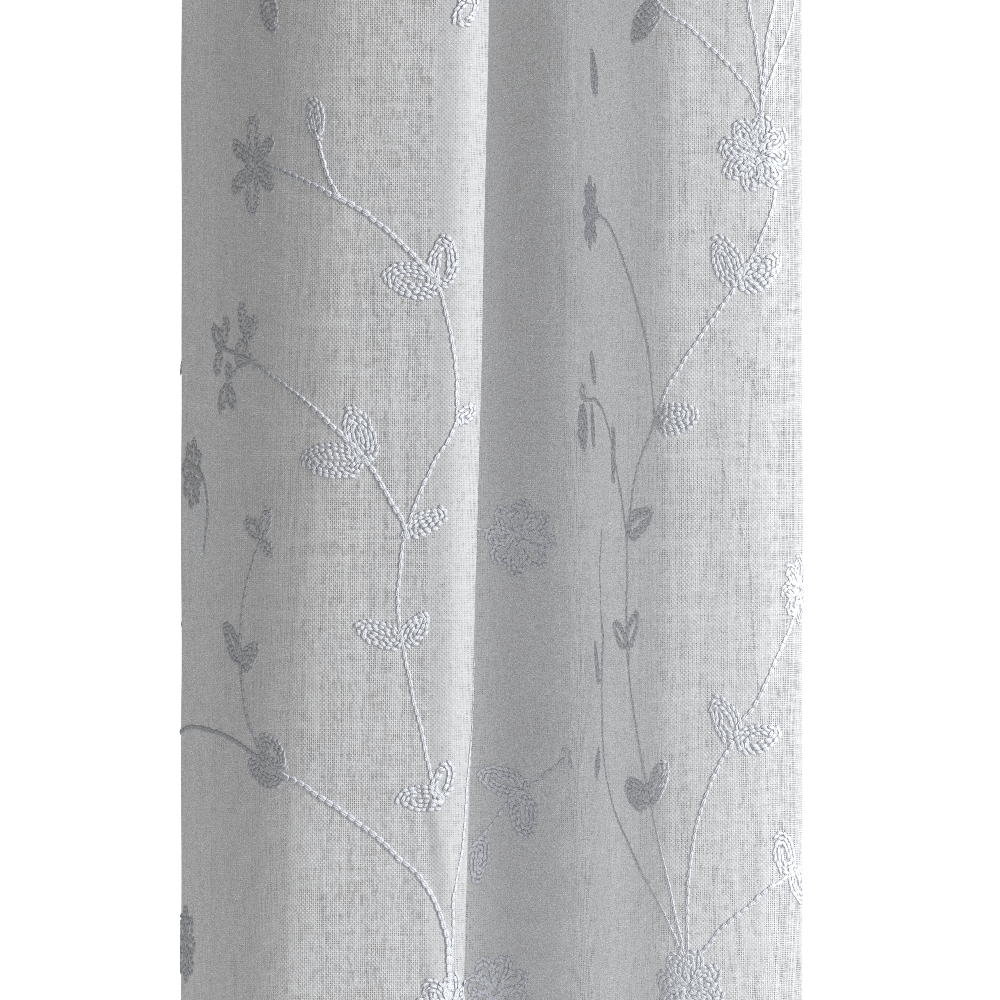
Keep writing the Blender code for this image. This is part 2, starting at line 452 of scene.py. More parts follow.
def times(tree, a, b):
    return calc(tree, "MULTIPLY", a, b)


def plus(tree, a, b, clamp=False):
    return calc(tree, "ADD", a, b, clamp=clamp)


def combine(tree, x, y, z=0.0):
    return addNode(tree, "ShaderNodeCombineXYZ", {"X": x, "Y": y, "Z": z}).outputs[0]


def separate(tree, vector):
    return addNode(tree, "ShaderNodeSeparateXYZ", {0: vector}).outputs


def flatNoise(tree, vector):
    feeds = {"Vector": vector, "Scale": 1.0, "Detail": 0.0}
    return addNode(tree, "ShaderNodeTexNoise", feeds, noise_dimensions="2D").outputs["Fac"]


def smoothStep(tree, value, low, high):
    feeds = {"Value": value, "From Min": low, "From Max": high}
    return addNode(tree, "ShaderNodeMapRange", feeds, interpolation_type="SMOOTHSTEP").outputs["Result"]


def mixShaders(tree, share, first, second):
    return addNode(tree, "ShaderNodeMixShader", {0: share, 1: first, 2: second}).outputs[0]


def mixColours(tree, share, dark, light):
    return addNode(tree, "ShaderNodeMix", {0: share, 6: dark, 7: light}, data_type="RGBA").outputs[2]


# A node group, what its inputs give and what its outputs take. A socket's label comes with its
# number, or with its kind where it has none.
def newGroup(name, inputs, outputs, treeKind="ShaderNodeTree"):
    group = bpy.data.node_groups.new(name, treeKind)
    for way, sockets in (("INPUT", inputs), ("OUTPUT", outputs)):
        for label, value in sockets.items():
            kind = "NodeSocket" + {float: "Float", int: "Int"}.get(type(value), value)
            socket = group.interface.new_socket(name=label, in_out=way, socket_type=kind)
            if not isinstance(value, str):
                socket.default_value = value
    return group, addNode(group, "NodeGroupInput").outputs, addNode(group, "NodeGroupOutput").inputs


# One set of parallel yarns: run counts across them and cross goes along them, in metres.
def yarnSet(tree, run, cross, pitch, cover, uneven, seed):
    count = calc(tree, "DIVIDE", run, pitch)
    index = calc(tree, "FLOOR", count)
    white = addNode(tree, "ShaderNodeTexWhiteNoise", {"W": plus(tree, index, seed)}, noise_dimensions="1D")
    own = calc(tree, "SUBTRACT", white.outputs["Value"], 0.5)
    place = calc(tree, "SUBTRACT", calc(tree, "FRACT", count), 0.5)
    shift = times(tree, own, voileLook["yarnShift"])
    place = calc(tree, "ABSOLUTE", plus(tree, place, shift))
    yarnAside = times(tree, index, voileLook["slubApart"])
    yarnAlong = times(tree, cross, voileLook["slubsAMetre"])
    slub = flatNoise(tree, combine(tree, yarnAside, yarnAlong, seed))
    change = times(tree, calc(tree, "SUBTRACT", slub, 0.5), voileLook["slubSize"])
    change = calc(tree, "MULTIPLY_ADD", own, voileLook["yarnSpread"], change)
    change = calc(tree, "MULTIPLY_ADD", change, uneven, 1.0)
    half = times(tree, times(tree, cover, 0.5), change)
    past = calc(tree, "SUBTRACT", half, place)
    mask = calc(tree, "MULTIPLY_ADD", past, voileLook["yarnCrispness"], 0.5, clamp=True)
    rise = calc(tree, "SUBTRACT", 1.0, times(tree, place, 2.0))
    return index, mask, rise, plus(tree, times(tree, white.outputs["Value"], 0.5), slub)


def makeReliefGroup():  # round yarns, one set over and the other under, turn about
    inputs = {"Flat Cloth": "Vector", "Warp Pitch": 0.00065, "Weft Pitch": 0.00065}
    group, given, out = newGroup("weaveRelief", inputs, {"Height": "Float"})
    flat = separate(group, given["Flat Cloth"])
    sines = []
    for run, pitch in (("X", "Warp Pitch"), ("Y", "Weft Pitch")):
        count = calc(group, "DIVIDE", flat[run], given[pitch])
        sines.append(calc(group, "SINE", times(group, count, math.pi)))
    over = times(group, sines[0], sines[1])
    feed(group, out["Height"], plus(group, times(group, over, 0.5), 0.5))
    return group


def makeWeaveGroup():
    inputs = {
        "Flat Cloth": "Vector",
        "Warp Pitch": 0.00065,
        "Weft Pitch": 0.00065,
        "Warp Cover": 0.6,
        "Weft Cover": 0.5,
        "Unevenness": 0.5,
        "Closer": 0.0,
        "Softer": 0.0,
    }
    group, given, out = newGroup("openWeave", inputs, {"Cover": "Float", "Shade And Tone": "Float"})
    along, down, _ = separate(group, given["Flat Cloth"])
    uneven = given["Unevenness"]
    closer = times(group, given["Closer"], voileLook["closerCover"])
    warpCover = plus(group, given["Warp Cover"], closer)
    weftCover = plus(group, given["Weft Cover"], closer)
    bandAside = times(group, along, voileLook["bandsAMetre"])
    bandAlong = times(group, down, voileLook["bandChangesAMetre"])
    band = flatNoise(group, combine(group, bandAside, bandAlong))
    bandSize = voileLook["bandSize"]
    band = calc(group, "MULTIPLY_ADD", band, bandSize, 1 - bandSize / 2)
    warpCover = times(group, warpCover, band)
    warp, warpMask, warpRise, warpOwn = yarnSet(
        group, along, down, given["Warp Pitch"], warpCover, uneven, voileLook["warpSeed"]
    )
    weft, weftMask, weftRise, weftOwn = yarnSet(
        group, down, along, given["Weft Pitch"], weftCover, uneven, voileLook["weftSeed"]
    )
    # plain weave: warp over weft where the two counts are even together
    over = calc(group, "FLOORED_MODULO", plus(group, warp, weft), 2.0)
    warpHigh = calc(group, "MULTIPLY_ADD", over, -voileLook["warpDip"], 1.0)
    warpTop = times(group, warpRise, warpHigh)
    weftHigh = calc(group, "MULTIPLY_ADD", over, voileLook["weftRise"], voileLook["weftLow"])
    weftTop = times(group, weftRise, weftHigh)
    warpTop = times(group, warpTop, warpMask)
    weftTop = times(group, weftTop, weftMask)
    height = calc(group, "MAXIMUM", warpTop, weftTop)
    cover = calc(group, "MAXIMUM", warpMask, weftMask)
    ofWarp = voileLook["toneOfWarp"]
    own = plus(group, times(group, warpOwn, ofWarp), times(group, weftOwn, 1 - ofWarp))
    # painted shade: a yarn is painted darker towards its sides and where it dips under the other set, on
    # top of its own tone; Softer pulls both towards the middle
    height = times(group, height, voileLook["shadeOfHeight"])
    tone = plus(group, height, times(group, own, voileLook["toneOfYarn"]))
    toMiddle = times(group, calc(group, "SUBTRACT", 0.5, tone), given["Softer"])
    tone = plus(group, tone, toMiddle, clamp=True)
    feed(group, out["Cover"], cover)
    feed(group, out["Shade And Tone"], tone)
    return group


def voileMaterial(weave, relief):
    material = bpy.data.materials.new("white voile")
    material.use_nodes = True
    tree = material.node_tree
    tree.nodes.clear()
    flatCloth = addNode(tree, "ShaderNodeUVMap", uv_map="flatCloth").outputs["UV"]
    yarns = {
        "Flat Cloth": flatCloth,
        "Warp Pitch": voileLook["warpPitch"],
        "Weft Pitch": voileLook["weftPitch"],
    }
    changes = {
        name: addNode(tree, "ShaderNodeAttribute", attribute_name=name.lower()).outputs["Fac"]
        for name in ("Closer", "Softer")
    }
    covers = {"Warp Cover": voileLook["warpCover"], "Weft Cover": voileLook["weftCover"]}
    feeds = {**yarns, **covers, **changes, "Unevenness": voileLook["unevenness"]}
    group = addNode(tree, "ShaderNodeGroup", feeds, node_tree=weave)
    ridges = addNode(tree, "ShaderNodeGroup", yarns, node_tree=relief)
    # yarn colour with painted shade and the yarns' own tone
    colour = mixColours(tree, group.outputs["Shade And Tone"], voileLook["darkYarnAndShade"], voileLook["lightYarn"])
    bump = addNode(tree, "ShaderNodeBump", {
        "Strength": voileLook["reliefStrength"],
        "Distance": voileLook["relief"],
        "Height": ridges.outputs["Height"],
    })
    front = addNode(tree, "ShaderNodeBsdfPrincipled", {
        "Base Color": colour,
        "Roughness": voileLook["roughness"],
        "Sheen Weight": voileLook["sheen"],
        "Sheen Roughness": voileLook["sheenRoughness"],
        "Specular IOR Level": voileLook["shine"],
        "Normal": bump.outputs["Normal"],
    }).outputs[0]
    through = addNode(tree, "ShaderNodeBsdfTranslucent", {"Color": colour}).outputs[0]
    hole = addNode(tree, "ShaderNodeBsdfTransparent").outputs[0]
    yarn = mixShaders(tree, voileLook["letThrough"], front, through)
    whole = mixShaders(tree, group.outputs["Cover"], hole, yarn)
    addNode(tree, "ShaderNodeOutputMaterial", {"Surface": whole})
    return material


weave = makeWeaveGroup()
voileSheet = makeVoile()
voileSheet.data.materials.append(voileMaterial(weave, makeReliefGroup()))
print("voile sheet made:", len(voileSheet.data.polygons), "faces")


# Embroidery, in chain stitch. Each motif is listed: a point is a pixel of the view on the stretch that
# carries it, or millimetres on the flat cloth where the view doesn't reach.
embroidery = {
    "fineStemsFrom": 395,  # pixels from the view's left edge
    "rowPitch": 0.00126,  # from one row of a leaf to the next
    "lift": 0.00010,  # the middle of the thread above the cloth, which it is sewn into
    "loosePath": 0.00016,  # how far a hand-fed row strays
    "pathStep": 0.0012,
    "edgeRoom": 0.0015,  # bare cloth left beside its edges
    "leafRings": 6,  # as many of them as the leaf has room for
    "smallRings": 3,
    "leafWidest": 0.42,  # share of the length at which it is widest
    "budWidest": 0.5,
    "petalWidest": 0.6,
    "budPitch": 0.9,  # for the row pitch
    "petalPitch": 0.95,
    "hiddenBudPitch": 0.85,
    "hiddenLeafWidth": 0.56,  # for the length
    "hiddenBudWidth": 0.6,
    "heart": 0.0012,  # radius of a flower's middle
    "heartPoints": 16,
    "petalFrom": 0.1,  # share of the flower's radius at which a petal begins
    "samePoint": 0.0003,  # a point nearer than this to the one before is left out
    "splineSteps": 12,
    "sidePoints": 19,  # along each side of a leaf
    "fullness": 1.2,  # the lower, the blunter a leaf's ends
    "baseInset": 0.9,  # of a ring from the leaf's base, for its inset from the side
    "endInsets": 2.1,  # the same at base and tip together
    "leastLength": 2.3,  # of a leaf that a ring fits in, for the ring's inset
    "leastHalf": 0.2,  # of a ring's half width, for the row pitch
    "seed": 7,
}

# of each kind of stitch, its length, its width, the thickness of its thread, how far its ends sink
# into the cloth for that thickness, and by how many radians it may turn aside
stitches = {
    "stem": (0.0027, 0.0020, 0.0012, 0.06, 0.04),
    "fineStem": (0.0027, 0.0015, 0.00082, 0.6, 0.08),
    "leaf": (0.0021, 0.001386, 0.00088, 0.3, 0.24),
    "seam": (0.0026, 0.00034, 0.0003, 0.3, 0.03),
}
stitchSockets = ("Stitch Length", "Stitch Width", "Thread Size", "Sink", "Turn Spread")

# on each stretch, the points of one stem after the other
stemTable = {
    "left": [
        (258, 162, 280, 170, 303, 180, 337, 197, 360, 210, 383, 227, 403, 245, 420, 263, 433, 277),
        (315, 132, 318, 140, 322, 157, 328, 177, 337, 193),
        (440, 290, 448, 320, 453, 343, 456, 373, 457, 417),
        (457, 420, 450, 437, 437, 457, 427, 477, 417, 500, 410, 520, 405, 530),
        (222, 348, 237, 355, 253, 363, 273, 377, 293, 392, 313, 408, 333, 427, 347, 440, 362, 455),
        (364, 458, 377, 477, 390, 500, 400, 517, 405, 530), (247, 345, 250, 353, 253, 362),
        (228, 383, 237, 370, 252, 363), (405, 533, 402, 550, 400, 570, 398, 593, 398, 613, 401, 633),
        (402, 642, 408, 673, 415, 707, 422, 733, 428, 763, 434, 790),
        (260, 543, 252, 567, 246, 590, 242, 617, 240, 643),
        (240, 663, 243, 690, 246, 713, 253, 733, 263, 757, 280, 773),
        (181, 733, 190, 728, 207, 730, 227, 737, 243, 747, 260, 760, 280, 774, 300, 783, 317, 795,
         337, 808, 357, 822, 377, 837, 397, 857, 413, 870, 427, 888, 437, 907, 445, 930, 448, 950,
         449, 1000),
        (474, 660, 474, 700, 473, 717, 470, 750, 467, 783, 465, 817, 462, 850, 457, 877, 454, 893,
         453, 927, 451, 967, 450, 1000),
        (186, 460, 203, 478, 208, 510, 205, 545), (270, -20, 262, -70, 240, -120, 222, -160),
        (460, 5, 452, -40, 430, -90, 400, -140), (450, 1000, 440, 1050, 420, 1100, 400, 1160),
    ],
    "valley": [
        (470, 528, 490, 531, 506, 535),
        (600, 768, 596, 754, 588, 750, 580, 750, 563, 760, 547, 773, 530, 787, 523, 793),
        (522, 792, 510, 800, 500, 813, 487, 830, 472, 848),
    ],
    "right": [
        (748, -160, 742, -90, 745, -40, 748, 0, 753, 27, 758, 57, 762, 90, 762, 130),
        (790, -120, 780, -50, 775, 0, 768, 33, 765, 63, 763, 95),
        (798, -20, 788, 33, 778, 60, 770, 80, 764, 97),
        (640, -60, 652, -10, 667, 13, 687, 25, 710, 47, 733, 70, 753, 97, 758, 120),
        (775, 190, 771, 213, 762, 235, 752, 257, 740, 278),
        (735, 288, 717, 313, 700, 337, 683, 363, 670, 383, 660, 407, 655, 420),
        (588, 217, 603, 218, 613, 233, 622, 257, 633, 290, 643, 327, 650, 360, 653, 393, 655, 417),
        (580, 400, 598, 402, 607, 423, 613, 450, 618, 477, 622, 500, 626, 530),
        (655, 423, 647, 443, 638, 467, 633, 490, 630, 515, 627, 533),
        (627, 535, 627, 583, 627, 633, 630, 683, 637, 733, 643, 767, 650, 800),
        (602, 530, 600, 567, 601, 600, 603, 633, 602, 667, 602, 700, 603, 740, 605, 767, 610, 793,
         617, 817, 627, 840, 640, 870, 657, 900, 670, 927, 683, 957),
        (651, 803, 657, 833, 663, 860, 670, 890, 677, 923, 685, 960),
        (733, 743, 718, 767, 707, 793, 698, 820, 692, 853, 688, 887, 687, 923, 688, 960),
        (736, 728, 753, 707, 767, 680, 780, 650, 792, 623, 798, 605),
        (690, 960, 700, 953, 720, 930, 747, 907, 767, 890, 787, 877, 798, 869),
        (688, 990, 684, 1050, 668, 1110, 660, 1165), (692, 1000, 712, 1050, 738, 1090, 760, 1150),
    ],
    "backLeft": [
        (250, 227, 233, 247, 217, 270, 200, 300, 190, 333, 182, 367),
        (265, -60, 255, 0, 237, 33, 220, 57, 205, 72),
        (207, 500, 218, 520, 220, 537, 210, 567, 197, 590, 184, 620),
        (213, 790, 197, 810, 188, 830, 187, 867, 190, 887, 204, 930),
    ],
    "backRight": [
        (557, -10, 580, 13, 593, 37, 603, 67, 610, 100, 614, 140), (620, -40, 619, 20, 617, 60, 614, 133),
        (633, 60, 620, 100, 615, 140), (627, 290, 632, 330, 645, 380, 655, 430, 660, 490),
        (616, 745, 625, 690, 620, 620, 626, 560),
    ],
    "flat": [
        (502, 214, 509, 203, 517, 187, 521, 168, 522, 152),
    ],
}

# on each stretch, the base, tip and width for its length of one leaf after the other
leafTable = {
    "left": [
        (266, -8, 274, 35, 0.6), (441, 286, 381, 273, 0.6), (440, 288, 447, 233, 0.56),
        (457, 420, 476, 407, 0.6), (368, 463, 350, 405, 0.54), (364, 464, 300, 457, 0.5),
        (405, 532, 449, 511, 0.5), (403, 644, 355, 624, 0.5), (403, 644, 429, 612, 0.58),
        (444, 800, 395, 797, 0.56), (436, 798, 451, 761, 0.56), (240, 663, 224, 622, 0.5),
        (241, 669, 260, 645, 0.6), (284, 772, 261, 733, 0.56), (284, 780, 248, 762, 0.56),
        (456, 24, 478, -4, 0.6), (430, -90, 395, -112, 0.55), (436, -84, 452, -124, 0.55),
        (240, -120, 262, -150, 0.6), (440, 1050, 398, 1044, 0.55), (436, 1056, 452, 1096, 0.55),
    ],
    "pleat": [
        (470, 200, 468, 148, 0.55), (446, 622, 450, 572, 0.55),
    ],
    "valley": [
        (526, 789, 476, 772, 0.5), (521, 791, 525, 840, 0.6), (484, 838, 474, 884, 0.5),
    ],
    "right": [
        (660, 3, 631, 41, 0.56), (738, 286, 716, 235, 0.56), (737, 287, 782, 258, 0.6),
        (655, 423, 700, 414, 0.66), (627, 533, 654, 512, 0.56), (626, 647, 614, 621, 0.52),
        (627, 647, 639, 612, 0.5), (649, 804, 668, 761, 0.5), (649, 804, 625, 783, 0.6),
        (735, 742, 715, 695, 0.58), (736, 744, 781, 732, 0.62), (788, 874, 780, 830, 0.6),
        (792, 866, 806, 905, 0.6), (596, 97, 592, 48, 0.45), (599, 684, 595, 640, 0.45),
        (744, -84, 716, -112, 0.56), (744, -84, 774, -114, 0.56), (680, 1062, 640, 1050, 0.56),
        (738, 1090, 764, 1064, 0.56),
    ],
    "backLeft": [
        (207, 78, 196, 104, 0.8), (204, 505, 192, 568, 0.7),
    ],
    "backRight": [
        (626, 290, 636, 248, 0.5), (624, 286, 612, 318, 0.6), (617, 744, 632, 704, 0.5),
        (616, 742, 604, 772, 0.6),
    ],
    "flat": [
        (522, 153, 527, 140, 0.6),
    ],
}

# the same of the small ones, which have three rings at most
budTable = {
    "left": [
        (317, 140, 313, 97, 0.52), (244, 336, 242, 302, 0.52), (247, 341, 235, 362, 0.62),
        (248, 341, 255, 318, 0.66), (222, 348, 213, 326, 0.6), (222, 348, 228, 318, 0.56),
        (221, 350, 216, 376, 0.6), (229, 384, 229, 362, 0.66), (228, 386, 219, 411, 0.6),
        (228, 386, 234, 411, 0.6), (262, 537, 270, 507, 0.56), (260, 538, 246, 519, 0.6),
        (262, 538, 273, 559, 0.56),
    ],
    "right": [
        (595, 385, 591, 350, 0.45), (581, 398, 572, 384, 0.7), (580, 401, 566, 403, 0.7),
        (583, 404, 582, 452, 0.45), (592, 404, 594, 449, 0.4), (613, 483, 614, 427, 0.24),
        (600, 752, 596, 776, 0.6),
    ],
}

# stretch, centre, number of petals, radius in mm, turn in degrees, breadth for its height, width of
# a petal for its length
flowerTable = [
    ("left", 253, 166, 6, 15.4, 0, 0.78, 0.46),
    ("left", 193, 474, 8, 11.0, 10, 0.9, 0.60),
    ("left", 186, 945, 8, 12.0, 0, 0.9, 0.60),
    ("left", 450, 1010, 8, 11.5, 5, 1.0, 0.64),
    ("valley", 519, 538, 8, 11.8, 8, 1.0, 0.60),
    ("valley", 495, 992, 8, 11.8, 20, 1.0, 0.60),
    ("right", 757, 153, 8, 11.8, 12, 1.0, 0.64),
    ("right", 590, 213, 8, 11.5, 5, 0.85, 0.52),
    ("right", 799, 589, 8, 10.5, 0, 0.8, 0.60),
    ("right", 688, 988, 8, 11.5, 15, 1.0, 0.64),
    ("backRight", 617, 182, 8, 11.5, 10, 1.0, 0.60),
]


# The vine where the view doesn't reach, in mm on the flat cloth, and where it is sewn: along, down
# and 1 or -1 for its mirror image
hiddenVine = {
    "places": [(22, 0, 1), (268, -40, 1), (493, 20, -1), (560, -20, 1)],
    "stems": [
        (2, 400, 8, 360, 12, 320, 6, 270, -4, 220, -8, 175, 0, 120, 8, 70, 4, 20, -2, -20),
        (12, 320, 15, 302, 14, 286),
        (-8, 175, -12, 158, -11, 143),
        (8, 70, 12, 54, 11, 42),
    ],
    "leaves": [
        (9, 352, -4, 342), (10, 350, 19, 337), (3, 256, -10, 249), (4, 254, 14, 243),
        (-5, 148, 7, 139), (3, 104, -9, 98), (4, 102, 13, 92),
    ],
    "buds": [(14, 286), (-11, 143), (11, 42)],
    "budTips": [(-4, -7), (2, -9), (7, -5)],
}


def onVine(place, x, y):  # a point of the hidden vine, in metres on the flat cloth
    along, down, flip = place
    return (along + x * flip) / 1000, (down + y) / 1000


def splineThrough(points, step):
    points = np.array(points)
    apart = np.linalg.norm(np.diff(points, axis=0), axis=1) > embroidery["samePoint"]
    points = points[np.insert(apart, 0, True)]
    if len(points) > 2:
        points = smoothCourse(points, embroidery["splineSteps"])
    gone = alongOf(points)
    at = np.linspace(0, gone[-1], max(3, int(gone[-1] / step)))
    return np.stack([np.interp(at, gone, points[:, k]) for k in range(2)], axis=1)


def leafRings(base, tip, share, widest, rings, pitch):  # closed rows, one inside the other
    base, tip = np.array(base), np.array(tip)
    length = np.linalg.norm(tip - base)
    way = (tip - base) / length
    side = np.array([-way[1], way[0]])
    s = (1 - np.cos(np.linspace(0, math.pi, embroidery["sidePoints"]))) / 2
    full = embroidery["fullness"]
    profile = s ** (full * widest) * (1 - s) ** (full * (1 - widest))
    profile /= profile.max()
    paths = []
    for ring in range(rings):
        inset = (0.5 + ring) * pitch
        half = share * length / 2 - inset
        if half < embroidery["leastHalf"] * pitch or length < embroidery["leastLength"] * inset:
            break
        ahead = embroidery["baseInset"] * inset + s * (length - embroidery["endInsets"] * inset)
        one = base + ahead[:, None] * way + (half * profile)[:, None] * side
        other = base + ahead[:, None] * way - (half * profile)[:, None] * side
        paths.append((np.vstack([one, other[-2:0:-1]]), True))
    return paths


def inTurn(table):
    return [(stretch, row) for stretch, rows in table.items() for row in rows]


def motifPaths():
    pitch = embroidery["rowPitch"]
    stems, fineStems, leaves, hidden, flowers = [], [], [], [], []
    for stretch, numbers in inTurn(stemTable):
        points = [onCloth(stretch, x, y) for x, y in zip(numbers[::2], numbers[1::2])]
        fine = np.mean(numbers[::2]) > embroidery["fineStemsFrom"]
        (fineStems if fine else stems).append((splineThrough(points, embroidery["pathStep"]), False))
    full = (embroidery["leafWidest"], embroidery["leafRings"], pitch)
    small = (embroidery["budWidest"], embroidery["smallRings"], pitch * embroidery["budPitch"])
    petal = (embroidery["petalWidest"], embroidery["smallRings"], pitch * embroidery["petalPitch"])
    for table, shape in ((leafTable, full), (budTable, small)):
        for stretch, (bx, by, tx, ty, share) in inTurn(table):
            leaves += leafRings(onCloth(stretch, bx, by), onCloth(stretch, tx, ty), share, *shape)
    for stretch, x, y, count, radius, turn, breadth, share in flowerTable:
        middle = np.array(onCloth(stretch, x, y))
        for angle in math.radians(turn) + np.arange(count) * 2 * math.pi / count:
            way = np.array([math.sin(angle) * breadth, -math.cos(angle)]) * radius / 1000
            flowers += leafRings(middle + embroidery["petalFrom"] * way, middle + way, share, *petal)
        ring = np.linspace(0, 2 * math.pi, embroidery["heartPoints"] + 1)[:-1]
        circle = np.stack([np.sin(ring) * breadth, np.cos(ring)], axis=1)
        flowers.append((middle + embroidery["heart"] * circle, True))
    small = (embroidery["budWidest"], 2, pitch * embroidery["hiddenBudPitch"])
    for place in hiddenVine["places"]:
        for numbers in hiddenVine["stems"]:
            points = [onVine(place, x, y) for x, y in zip(numbers[::2], numbers[1::2])]
            stems.append((splineThrough(points, embroidery["pathStep"]), False))
        for bx, by, tx, ty in hiddenVine["leaves"]:
            ends = onVine(place, bx, by), onVine(place, tx, ty)
            hidden += leafRings(*ends, embroidery["hiddenLeafWidth"], *full)
        for x, y in hiddenVine["buds"]:
            for tipX, tipY in hiddenVine["budTips"]:
                ends = onVine(place, x, y), onVine(place, x + tipX, y + tipY)
                hidden += leafRings(*ends, embroidery["hiddenBudWidth"], *small)
    return stems, fineStems, leaves, hidden, flowers


def layOnCloth(name, paths):  # rows of points on the cloth, joined by edges, each with its normal
    room = embroidery["edgeRoom"]
    most = np.array([cloth["cutWidth"], cloth["drop"]]) - room
    vertices, normals, edges = [], [], []
    rng = np.random.default_rng(embroidery["seed"])
    for path, closed in paths:
        inside = ((path > room) & (path < most)).all(axis=1)
        if inside.sum() < 3:
            continue
        path = path[inside]
        path = path + rng.normal(0, embroidery["loosePath"] / 2, path.shape)
        first = len(vertices)
        out = bilinear(outward, path[:, 0], path[:, 1])
        vertices += (bilinear(lookup, path[:, 0], path[:, 1]) + out * embroidery["lift"]).tolist()
        normals += out.tolist()
        edges += [(first + k, first + k + 1) for k in range(len(path) - 1)]
        if closed and inside.all():
            edges.append((first + len(path) - 1, first))
    mesh = bpy.data.meshes.new(name)
    mesh.from_pydata(vertices, edges, [])
    store = mesh.attributes.new("clothNormal", "FLOAT_VECTOR", "POINT")
    store.data.foreach_set("vector", np.array(normals, dtype=np.float32).ravel())
    return link(bpy.data.objects.new(name, mesh))


stitchShape = {
    "loopPoints": 8,
    "threadPoints": 4,  # round the thread
    "middle": 0.48,  # where the loop's middle lies, for the stitch length
    "reach": 0.5,  # from there to its head or tail
    "breadth": 0.8,  # in the loop's middle, for its width
    "taper": 0.42,  # gained at its head and lost at its tail
    "rise": 0.25,  # of the loop's middle, for the thread size
    "flatness": 0.42,  # pressed down by the next loop
    "smallest": 0.88,  # width and height of a loop beside the others'
    "largest": 1.1,
    "tilt": 0.7,  # for its turn aside
}


